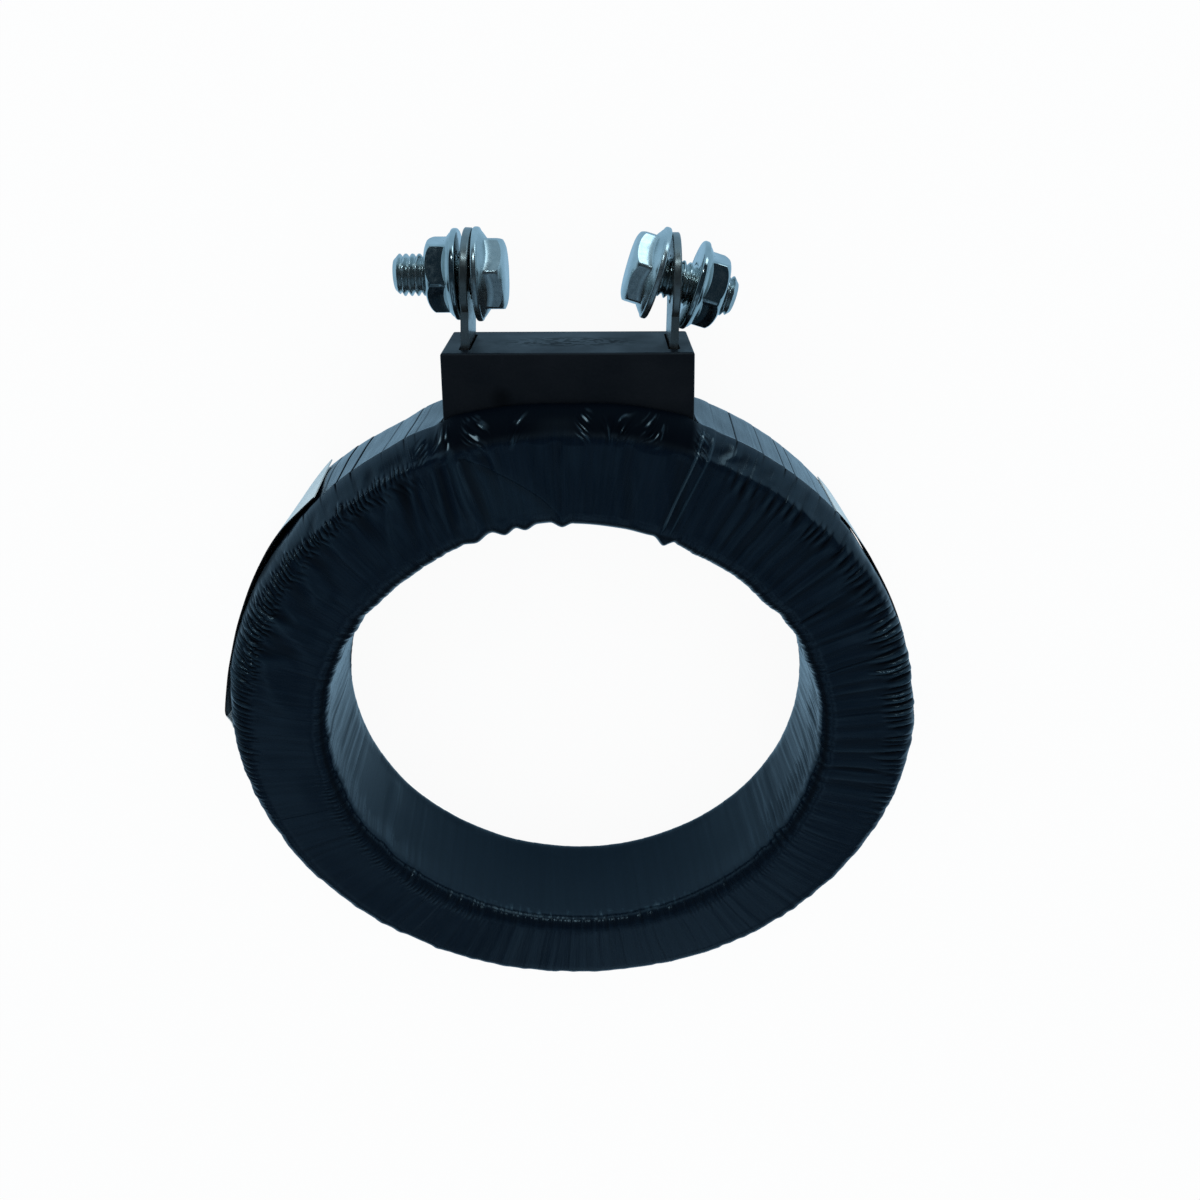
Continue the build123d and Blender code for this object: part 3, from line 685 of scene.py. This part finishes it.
def fan_folds(x, y, s):
    """Folds that fan out from a crumple left of the block's foot, steeper than the radius."""
    face = span(s, S_LIP + 1, S_FACE + 2, CREASE_S - 1.6, CREASE_S + 0.4)
    fan = (x + 19.5 - 0.22 * (56 - y)) / (1.0 + 0.02 * (58 - y))
    fold = ripple((fan + 40) / 1.45 + 0.3 * relief(x / 3 + 40, y / 5, 40, 54), 60, 55)
    wide = ripple((fan + 40) / 3.4, 40, 58)
    where = span(x, -31.0, -25.0, -14.5, -9.5) * (0.35 + 0.65 * fade(y, 42, 51)) * (y > 0)
    return (0.80 * fold + 0.70 * wide) * face * where


def creases(x, y, s):
    """Two long creases drawn tight at the right foot of the block: 1 along each."""
    lines = 0
    for start, ease, high in ((18.95, 0.40, 1.0), (20.9, 0.44, 0.6)):
        lines = lines + high * bump(x - start - ease * (y - 55.5), 0.0, 0.42) * (y > 0)
    return lines * span(s, S_LIP + 2.5, S_FACE + 1, S_SHOULDER + 4, S_SHOULDER + 7)


def tape_end(x, y, s):
    """1 on the face where the tape's end lies lower: left of a curve from shoulder to bore."""
    curve = -0.9 - 14.1 * np.clip((y - 45.0) / 11.5, 0, 1.15) ** 1.9
    return (1 - fade(x - curve, -0.9, 0.12)) * on_face(s)


def bound(s, radius, angle):
    """Relief of the smooth tape drawn over the block's feet: crinkles, one tape's end, faint
    upright folds right of it, long creases, and scallops that hang into the bore."""
    x, y = level_place(radius, angle)
    face = on_face(s)
    end = -0.34 * tape_end(x, y, s) * fade(x, -24, -13)
    fold = ripple((x + 40) / 1.9 + 0.3 * relief(x / 3 + 40, s / 5, 40, 56), 60, 57)
    folds = 0.22 * fold * fade(x, -8, -2) * face
    hang = bumps_along(x, (-15.4, 2.6, 1), (-10.6, 2.2, 1), (-7.2, 2.0, 0.8), (-1.4, 1.9, 0.9),
                       (-18.6, 1.6, 0.5), (12.6, 4.0, 0.25))
    scallops = 0.95 * (hang - 0.35 * zone(x, -18, 1, 3)) * bump(s, S_LIP + 1.6, 3.4)
    loop = 1.4 * bump(x, 15.6, 2.4) * bump(s, S_LIP + 0.6, 3.0)
    soft = 0.12 * relief(x / 8 + 50, s / 6, 40, 61) + 0.10 * relief(x / 2.2 + 50, s / 9, 60, 59) * face
    crinkles = 0.28 * dents(x, s) * crumple(x, s)
    return (BIND_RISE * on_wall(s) + crinkles + end + folds + 0.4 * creases(x, y, s) + scallops + loop
            + soft)


def under_block(x, height, s):
    """1 where the block stands on the ring, 0 outside it, with a steep step at its foot."""
    spread = (BLOCK_TOP - FILM_R) * math.tan(math.radians(BLOCK_DRAFT)) + 0.05
    half_x, half_z = BLOCK_LENGTH / 2 + spread, BLOCK_DEPTH / 2 + spread
    inside = 1 - fade(np.abs(x), half_x, half_x + 0.12)
    inside = inside * (1 - fade(np.abs(height), half_z, half_z + 0.12))
    return inside * span(s, S_WALL - 3, S_WALL - 1, S_REAR_SHOULDER + 1, S_REAR_SHOULDER + 3)


# each label: angles from the block, distances of its front and back edge, pull of its free tip
LABELS = {
    "left": ([40.6, 44.2, 47.9, 51.8, 54.9, 63.8, 72.4, 80.5, 90.5],
             [63.75, 63.80, 64.10, 64.05, 63.85, 63.50, 63.60, 64.30, 65.80],
             [65.00, 64.66, 64.34, 64.10, 63.75, 63.30, 63.30, 63.70, 65.00], 3.5),
    "right": ([43.7, 46.0, 48.0, 50.0, 52.0, 54.5, 58.0, 64.0, 72.5, 81.0, 86.0],
              [62.98, 62.92, 62.78, 62.58, 62.60, 62.38, 62.25, 62.20, 62.25, 62.50, 62.85],
              [63.20, 63.05, 62.85, 62.65, 62.50, 62.35, 62.30, 62.25, 62.30, 62.50, 62.85], 0.0)}


def label_radius(side, along, share):
    """Distance of a label from the axis at each angle, a share of the way from its front edge
    to its back edge.  Each edge follows a smooth curve through its own distances."""
    angles, front, back, _ = LABELS[side]
    even = np.linspace(angles[0], angles[-1], LABEL_STEPS)
    reach = 15                                       # steps that the smoothing takes in, each way
    kernel = np.hanning(2 * reach + 1) / np.hanning(2 * reach + 1).sum()

    def curve(radii):
        padded = np.pad(np.interp(even, angles, radii), reach, mode="edge")
        return np.interp(along, even, np.convolve(padded, kernel, mode="valid"))

    return curve(front) * (1 - share) + curve(back) * share


def room_under_labels(radius, height, angle):
    """Most that the tape may rise at each point: up to 0.2 mm from a label over it."""
    share = np.clip((LABEL_FRONT - height) / LABEL_WIDTH, 0, 1)
    rooms = []
    for sign, side in ((1, "left"), (-1, "right")):
        ends = LABELS[side][0]
        clear = 4.0 * (1 - zone(sign * angle, ends[0] - 0.6, ends[-1], 1.2))
        rooms.append(label_radius(side, sign * angle, share) - 0.2 - radius + clear)
    return np.minimum(*rooms)


def tape_relief(w, s, radius, height):
    """Height of the tape over the bare section: wraps and binding mixed by how much of each
    shows, faded out over the rear that the ring lies on, and pressed down under the block."""
    angle = turned(w + np.degrees(lean(radius, height) / radius))
    x, y = level_place(radius, angle)
    near = np.abs(angle) < 60
    shown = 1 - fade(s, S_REAR_SHOULDER + 3.0, S_REAR + 0.5) + fade(s, S_REAR_LIP, S_END)
    loose = np.maximum(fade(angle, 19.0, 27.0), fade(-angle, 19.6, 22.4))
    rise = (wrapped(w, s, radius, angle) * loose + bound(s, radius, angle) * (1 - loose)
            + bevel(s, angle) + settled(s, angle) + fan_folds(x, y, s) * near)
    rise = rise * shown + build_up(angle) * on_wall(s)
    rise = np.minimum(rise, room_under_labels(radius, height, angle))
    rise = np.maximum(rise, 0.12 - TAPE_T)           # never down to the film under the tape
    block = under_block(x, height, s) * near
    return rise * (1 - block) + (FILM_R + 0.01 - radius) * block


def ring_surface(w, s):
    """Points of the ring at wrap angle w and section distance s, raised by the tape's relief.

    A wrap's edge leans along the ring by lean(), so the true angle is w plus lean over radius.
    """
    w, s = w[:, None], s[None, :]
    radius, height, out_r, out_z = section(s)
    rise = tape_relief(w, s, radius, height)
    angle = np.radians(w) + lean(radius, height) / radius
    far = radius + rise * out_r
    level = np.maximum(height + rise * out_z, FLOOR_Z)
    return np.stack([-far * np.sin(angle), far * np.cos(angle), level], -1)


def tape_marks(w, s):
    """Marks for the tape's finish, each from 0 to 1.

    The seam and shade mark is high on wraps' edges and along the lip, and as painted shade on
    the crease along the wall, under the labels and at the block's foot, and it grows, as painted
    shade in hollows, with the depth of a point under the mean of its neighbours along the ring.
    The crest highlight mark is painted highlight: it grows with a point's height over that mean,
    and is high on the crinkles, the long creases, the gleams along the lip and, a little, left of
    the tape's end.
    """
    w, s = w[:, None], s[None, :]
    radius, height, _, _ = section(s)
    angle = turned(w + np.degrees(lean(radius, height) / radius))
    loose = fade(np.abs(angle), 20.0, 24.0)
    line = seam_lines(w, s) * loose
    # painted shade along the crease where the bevel meets the wall near the block
    bridged = (1 - fade(np.abs(angle), 40.0, 56.0)) * loose
    line = np.maximum(line, 0.7 * bridged * (1 - fade(np.abs(s - S_WALL), 0.05, 0.30)))
    lip_line = 0.5 * (1 - 0.7 * fade(np.abs(angle), 100, 130))
    line = np.maximum(line, lip_line * (1 - fade(np.abs(s - S_LIP - 2.6), 0.1, 0.7)))
    shade = zone(angle, 46, 88, 8) + zone(-angle, 50, 90, 8)
    line = np.maximum(line, 0.85 * shade * fade(s, S_SHOULDER + 3.8, S_WALL - 1.2))
    rise = tape_relief(w, s, radius, height)
    tone = (0.35 + 0.65 * fade(s, S_LIP, S_FACE + 1)) * (s < S_WALL + 1) * (0.45 + 0.55 * loose)
    # deep is painted shade in hollows below the mean of their neighbours, high is painted highlight on
    # ridges above it
    deep = high = 0
    step = np.radians(w[1, 0] - w[0, 0]) * RING_R
    for reach, depth in ((1.1, 0.17), (2.6, 0.34)):
        cells = max(2, round(reach / step))
        total = np.cumsum(np.concatenate([[rise[0]] * (cells + 1), rise, [rise[-1]] * cells]), 0)
        above = rise - (total[2 * cells + 1:] - total[:-2 * cells - 1]) / (2 * cells + 1)
        deep, high = np.maximum(deep, -above / depth), np.maximum(high, above / depth / 1.6)
    deep, high = np.clip(deep, 0, 1) * tone, np.clip(high, 0, 1) * tone
    x, y = level_place(radius, angle)
    near = np.abs(angle) < 60
    # painted shade at the block's foot, where the tape runs into the gap under the block's front
    foot = span(s, S_SHOULDER + 1.2, S_SHOULDER + 3, S_WALL + 1, S_WALL + 2) * near
    foot = foot * (1 - fade(np.abs(x), 18.5, 20.5))
    foot = 0.85 * foot * (1 - 0.6 * bump(x, -1.5, 5.0) * bump(s, CREASE_S + 1, 2.5))
    seam_and_shade = np.maximum(np.maximum(line, 0.85 * deep), foot)
    # painted glints on the crinkles under the block and along the lower lip
    glint_specks = crumple(x, s) * near * fade(dents(x, s), 0.38, 0.80)
    gleam = zone(angle % 360, 148, 216, 14) * bump(s, S_LIP + 0.6, 1.7)
    glint_specks = glint_specks + 0.75 * gleam * fade(relief(w / 0.75, s / 0.9, 90, 54), 0.2, 0.7)
    under = 0.12 * tape_end(x, y, s) * fade(x, -19, -15) * near
    # the crest highlight mark: painted highlights, and a faint paler patch left of the tape's end
    crest_highlight = np.maximum(0.5 * high, under) + 0.88 * glint_specks + 0.42 * creases(x, y, s)
    return {"seam_and_shade": seam_and_shade * (1 - np.clip(1.5 * glint_specks, 0, 1)), "crest_highlight": np.clip(crest_highlight, 0, 1)}


WRAP_RUNS = stations(
    (S_BORE, 10), (S_LIP - 4, 8), (S_LIP, 13), (S_FACE, 9), (S_SHOULDER - 5, 13), (S_SHOULDER, 24),
    (S_WALL, 12), (S_WALL + 5, 9), (S_REAR_SHOULDER, 10), (S_REAR, 5), (S_REAR_LIP, 6))
BIND_RUNS = stations(
    (S_BORE, 8), (S_LIP - 3, 10), (S_LIP, 22), (S_FACE, 42), (S_SHOULDER, 42), (S_WALL - 1, 16),
    (S_WALL + 1, 14), (S_REAR_SHOULDER - 1, 14), (S_REAR_SHOULDER + 2, 6), (S_REAR, 5),
    (S_REAR_LIP, 6))


def tape_sector(name, node, start, end, steps, runs):
    """One run of the tape round the ring, closed round the section and capped at both ends."""
    w = np.linspace(start, end, steps)
    along = np.radians(w) * (WINDOW_R + RING_R) / 2
    piece = surface(name, ring_surface(w, runs), TAPE, u=along, v=np.append(runs, S_END),
                    wrap_v=True, cap_u=True, marks=tape_marks(w, runs))
    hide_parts(node)


SIDE_END = 105.0                 # degrees: the side runs end here, and the far run begins
WRAP_STEPS, BIND_STEPS = 820, 500
for name, start, end in (("left", BIND_HALF, SIDE_END), ("bottom", SIDE_END, 360 - SIDE_END),
                         ("right", -SIDE_END, -BIND_HALF)):
    tape_sector(f"tape_wraps_{name}", "outer_tape", start, end, WRAP_STEPS, WRAP_RUNS)
tape_sector("block_binding", "block_binding_tape", -BIND_HALF - 0.4, BIND_HALF + 0.4,
            BIND_STEPS, BIND_RUNS)


# ---------------- bolts and nuts
def hex_radius(turns, turn):
    """Distance from the axis to a hexagon's side: half the flats over the cosine within a side.

    The corners are trimmed to a circle a little inside the true corner.
    """
    within = (turns + turn + 30) % 60 - 30           # 0 at a corner
    side = 30 - np.abs(within)                       # 0 at the middle of a flat
    return np.minimum(HEX_FLATS / 2 / np.cos(np.radians(side)), HEX_FLATS / math.sqrt(3) - 0.10)


def round_turns(turn):
    """Angles round the axis, closer together at the corners of a hexagon turned by turn."""
    side = np.array([0, 1.0, 2.2, 3.8, 6.5, 10, 15, 20, 25, 30])
    half = np.concatenate([side, 60 - side[-2:0:-1]])
    return np.concatenate([half + 60 * k for k in range(6)]) - turn


def around(turns, x, radius):
    """Points about the X axis: angle from +Z towards -Y, at (x, radius) for each angle."""
    angle = np.radians(turns)[:, None] + 0 * x
    return np.stack([x + 0 * angle, -radius * np.sin(angle), radius * np.cos(angle)], -1)


def flanged_profile(turns, height, flange_r, turn):
    """Stations (x, radius) per angle from the seat's rim over flange and hexagon to its end.

    The flange's cone meets the hexagon where its radius equals the hexagon's.  The end is
    rounded by a quarter ellipse of radius over depth, which meets each flat in a deep arc.
    """
    hexagon = hex_radius(turns, turn)[:, None]
    meet = FLANGE_RIM + FLANGE_CONE * (flange_r - hexagon) / (flange_r - HEX_FLATS / 2)
    fall = np.sqrt(1 - ((hexagon - HEX_END_R) / (HEX_ROUND_R - HEX_END_R)) ** 2)
    depth = HEX_ROUND * (1 - fall) * np.array([[1.0, 0.8, 0.6, 0.42, 0.26, 0.13, 0.05, 0.0]])
    rounded = HEX_END_R + (HEX_ROUND_R - HEX_END_R) * np.sqrt(1 - (1 - depth / HEX_ROUND) ** 2)
    shoulder = height - depth[:, :1]
    arc = np.radians(np.array([0, 25, 50, 75, 90]))[None, :]
    edge = FLANGE_EDGE
    one = np.ones_like(hexagon)
    x = [edge - edge * np.cos(arc) + 0 * one, FLANGE_RIM - edge + edge * np.sin(arc) + 0 * one,
         FLANGE_RIM + 0.35 * (meet - FLANGE_RIM), meet - 0.14, meet - 0.05, meet + 0.07,
         meet + 0.5 * (shoulder - meet), shoulder - 0.05, height - depth]
    bite = flange_r - hexagon
    rim = flange_r - edge
    r = [rim + edge * np.sin(arc) + 0 * one, rim + edge * np.cos(arc) + 0 * one,
         flange_r - 0.45 * bite, hexagon + 0.22, hexagon + 0.07, hexagon, hexagon, hexagon, rounded]
    return np.concatenate(x, 1), np.concatenate(r, 1)


def thread(turns, x):
    """Radius of the M6 thread: a rounded 60 degree ridge that climbs one pitch a turn."""
    share = (x / THREAD_PITCH - turns[:, None] / 360) % 1.0
    ridge = np.clip(1.35 * (1 - 2 * np.abs(share - 0.5)) - 0.12, 0, 1)
    return THREAD_R - THREAD_DEPTH * (1 - ridge)


def placed(side, distance, points):
    """Carries points drawn along +X, seated at x = 0, to a tab's hole, as the part does."""
    outward = -1.0 if side == "left" else 1.0
    tilt, lean = -outward * math.radians(BOLT_TILT[side]), math.radians(TAB_LEAN[side])
    hole_x = TAB_X[side] - outward * TAB_HOLE_RISE * math.sin(lean)
    hole_y = BLOCK_TOP - TAB_DROP[side] + TAB_HOLE_RISE * math.cos(lean)
    along = outward * (distance + points[..., 0])
    y = points[..., 1]
    return np.stack([hole_x + along * math.cos(tilt) - y * math.sin(tilt),
                     hole_y + along * math.sin(tilt) + y * math.cos(tilt), points[..., 2]], -1)


def seats(side):
    """Distances of the bolt's and the nut's seat from the middle of the tab, along the bolt."""
    face = TAB_T / 2 + SEAT_CLEAR
    tilt, lean = math.radians(BOLT_TILT[side]), math.radians(TAB_LEAN[side])
    head = face * math.cos(tilt) + TAB_HEAD_R * math.sin(tilt) + TAB_HEAD_R * math.sin(lean)
    nut_seat = (face + NUT_FLANGE_R * math.sin(tilt)) / math.cos(tilt) + NUT_FLANGE_R * math.tan(lean)
    return -head, nut_seat


def bolt(side):
    """Flange bolt as one closed skin: chamfered thread, seat, flange, hexagon and its end."""
    turns = round_turns(HEAD_TURN[side])
    steps = np.linspace(BOLT_LENGTH, 0.02, 150)[None, :]
    radius = np.minimum(thread(turns, steps), THREAD_R - END_CHAMFER + (BOLT_LENGTH - steps) + 0.02)
    fx, fr = flanged_profile(turns, HEAD_HEIGHT, HEAD_FLANGE_R, HEAD_TURN[side])
    seat_x, seat_r = 0 * turns[:, None], np.full((len(turns), 1), THREAD_R + 0.3)
    x = np.concatenate([steps + 0 * radius, seat_x, -fx], 1)
    r = np.concatenate([radius, seat_r, fr], 1)
    points = placed(side, seats(side)[0], around(turns, x, r))
    piece = surface(f"bolt_{side}", points, DULL_LIGHTENED_ZINC, wrap_u=True, cap_v=True,
                    flip=side == "right", sharp=32)
    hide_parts(f"flange_bolt_{side}")


def nut(side):
    """Flange nut as one closed skin round its threaded bore."""
    turns = round_turns(NUT_TURN[side])
    bore = THREAD_R + THREAD_CLEAR
    fx, fr = flanged_profile(turns, NUT_HEIGHT, NUT_FLANGE_R, NUT_TURN[side])
    inner_x = np.array([[NUT_HEIGHT, NUT_HEIGHT - NUT_SINK, NUT_HEIGHT / 2, NUT_SINK, 0.0]])
    inner_r = np.array([[bore + NUT_SINK - 0.12, bore, bore, bore, bore + NUT_SINK]])
    one = np.ones((len(turns), 1))
    x = np.concatenate([fx, inner_x * one], 1)
    r = np.concatenate([fr, inner_r * one], 1)
    points = placed(side, seats(side)[1], around(turns, x, r))
    piece = surface(f"nut_{side}", points, ZINC, wrap_u=True, wrap_v=True,
                    flip=side == "left", sharp=32)
    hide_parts(f"flange_nut_{side}")


for side in ("left", "right"):
    bolt(side)
    nut(side)


# ---------------- labels
def label(side):
    """Strip of film whose distance from the axis is a curve of its angle, free at its ends."""
    sign = 1.0 if side == "left" else -1.0
    angles, _, _, tip = LABELS[side]
    along = np.linspace(angles[0], angles[-1], LABEL_STEPS)
    share = np.linspace(0, 1, 15)
    lift = label_radius(side, along[:, None], share[None, :])
    end_pull = tip * fade(along, angles[-1] - 6, angles[-1])[:, None]
    height = LABEL_FRONT - LABEL_WIDTH * share[None, :] - end_pull * (1 - share)[None, :]
    angle = np.radians(sign * along)[:, None]
    skins = []
    for raised in (0.0, LABEL_T):
        far = lift + raised
        skins.append(np.stack([-far * np.sin(angle), far * np.cos(angle), height], -1))
    loop = np.concatenate([skins[1], skins[0][:, ::-1]], 1)
    piece = surface(f"film_label_{side}", loop, FILM_PALE, wrap_v=True, cap_u=True,
                    flip=side == "right", sharp=40)
    piece.data.materials.append(LABEL_SHADE)
    # the inner skin and the cut edges take the painted shade, but for the curled tip
    count = loop.shape[1]
    row, inner = np.divmod(np.arange(len(piece.data.polygons)), count)
    dark = ((inner >= len(share) - 1) & ((row < len(along) * 0.91) | (tip == 0))).astype(np.int32)
    piece.data.polygons.foreach_set("material_index", dark)
    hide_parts(f"label_{side}")


for side in ("left", "right"):
    label(side)


# ---------------- floor, light and camera
FLOOR_HALF = 2000.0              # half the floor's side


def floor():
    """Pale floor that shows white and keeps a soft shadow of the ring.

    In reflections it is pale blue behind and under the window, and dark in front: a painted shadow of
    the ring in what the ring reflects.
    """
    material = bpy.data.materials.new("floor")
    material.use_nodes = True
    material.node_tree.nodes.clear()
    n = Tree(material.node_tree)
    path = n.add("ShaderNodeLightPath").outputs
    where = n.add("ShaderNodeTexCoord").outputs["Object"]
    # painted shadow: the reflected floor darkens towards the front of the ring
    back = n.smooth(n.add("ShaderNodeSeparateXYZ", Vector=where).outputs["Y"], -44 * MM, 0.0)
    sheen = n.mix(back, (0.13, 0.27, 0.41), (0.34, 0.59, 0.81))
    pale = n.mix(path["Is Glossy Ray"], (1, 1, 1), sheen)
    glow = n.add("ShaderNodeEmission", Color=pale, Strength=1.0)
    plain = n.add("ShaderNodeBsdfDiffuse", Color=(0.92, 0.93, 0.93))
    seen = n.math("MAXIMUM", path["Is Camera Ray"], path["Is Glossy Ray"])
    seen = n.math("MAXIMUM", seen, path["Is Transmission Ray"])
    skin = n.blend(n.math("MULTIPLY", seen, 0.94), plain.outputs[0], glow.outputs[0])
    n.add("ShaderNodeOutputMaterial", Surface=skin)
    half, level = FLOOR_HALF * MM, FLOOR_Z * MM
    mesh = bpy.data.meshes.new("floor")
    mesh.from_pydata([(-half, -half, level), (half, -half, level), (half, half, level),
                      (-half, half, level)], [], [(0, 1, 2, 3)])
    mesh.materials.append(material)
    piece = bpy.data.objects.new("floor", mesh)
    bpy.context.scene.collection.objects.link(piece)


def world():
    """White background; soft even light; and for reflections a dark studio with a bright band
    low down behind the block and at both sides, and faint patches of light in front."""
    made = bpy.data.worlds.new("studio")
    bpy.context.scene.world = made
    made.use_nodes = True
    made.node_tree.nodes.clear()
    n = Tree(made.node_tree)
    path = n.add("ShaderNodeLightPath").outputs
    toward = n.add("ShaderNodeTexCoord").outputs["Generated"]
    parts = n.add("ShaderNodeSeparateXYZ", Vector=toward).outputs
    low = n.math("SUBTRACT", 1.0, n.smooth(parts["Z"], 0.14, 0.38))
    band = n.math("MULTIPLY", low, n.smooth(parts["Y"], -0.50, 0.30))
    patches = n.smooth(n.noise(toward, 4.0, 1.0), 0.42, 0.58)
    glow = n.mix(patches, (0.035, 0.065, 0.095), (0.18, 0.31, 0.43))
    front = n.vectors("DOT_PRODUCT", toward, (0.0, -0.72, 0.694))
    dark = n.mix(n.smooth(front, 0.66, 0.97), (0.012, 0.026, 0.040), glow)
    room = n.add("ShaderNodeBackground", Color=n.mix(band, dark, (0.36, 0.585, 0.76)))
    even = n.add("ShaderNodeBackground", Color=(0.90, 0.96, 1.0), Strength=0.80)
    white = n.add("ShaderNodeBackground", Color=(1, 1, 1))
    lit = n.blend(path["Is Glossy Ray"], even.outputs[0], room.outputs[0])
    shown = n.math("MAXIMUM", path["Is Camera Ray"], path["Is Transmission Ray"])
    n.add("ShaderNodeOutputWorld", Surface=n.blend(shown, lit, white.outputs[0]))


def lamp(name, place, target, size, power, colour):
    """Soft rectangular lamp at a place in mm, turned to a target."""
    light = bpy.data.lights.new(name, "AREA")
    light.shape, light.size, light.size_y = "RECTANGLE", size[0] * MM, size[1] * MM
    light.energy, light.color = power, colour
    holder = bpy.data.objects.new(name, light)
    holder.location = Vector(place) * MM
    holder.rotation_mode = "QUATERNION"
    holder.rotation_quaternion = (Vector(target) - Vector(place)).to_track_quat("-Z", "Y")
    bpy.context.scene.collection.objects.link(holder)


CAMERA_PLACE = (4.204, 104.498, 140.814)     # mm
CAMERA_TURN = (-29.2932, -0.3103, -0.1463)   # degrees about X, Y and Z, from looking down -Z


def camera():
    """Camera above the front, looking down on the ring from the block's side."""
    data = bpy.data.cameras.new("view")
    data.sensor_width, data.lens = 36.0, 26.724
    data.clip_start, data.clip_end = 0.005, 20
    holder = bpy.data.objects.new("view", data)
    turn = Euler([math.radians(angle) for angle in CAMERA_TURN])
    holder.matrix_world = Matrix.LocRotScale(Vector(CAMERA_PLACE) * MM, turn, None)
    bpy.context.scene.collection.objects.link(holder)
    bpy.context.scene.camera = holder


floor()
world()
lamp("panel", (260, 640, 120), (0, 80, 0), (260, 170), 0.36, (0.66, 0.88, 1.0))
lamp("spark", (0, 600, 400), (0, 40, 0), (150, 50), 0.36, (0.66, 0.88, 1.0))
camera()
bpy.context.scene.view_settings.view_transform = "Standard"
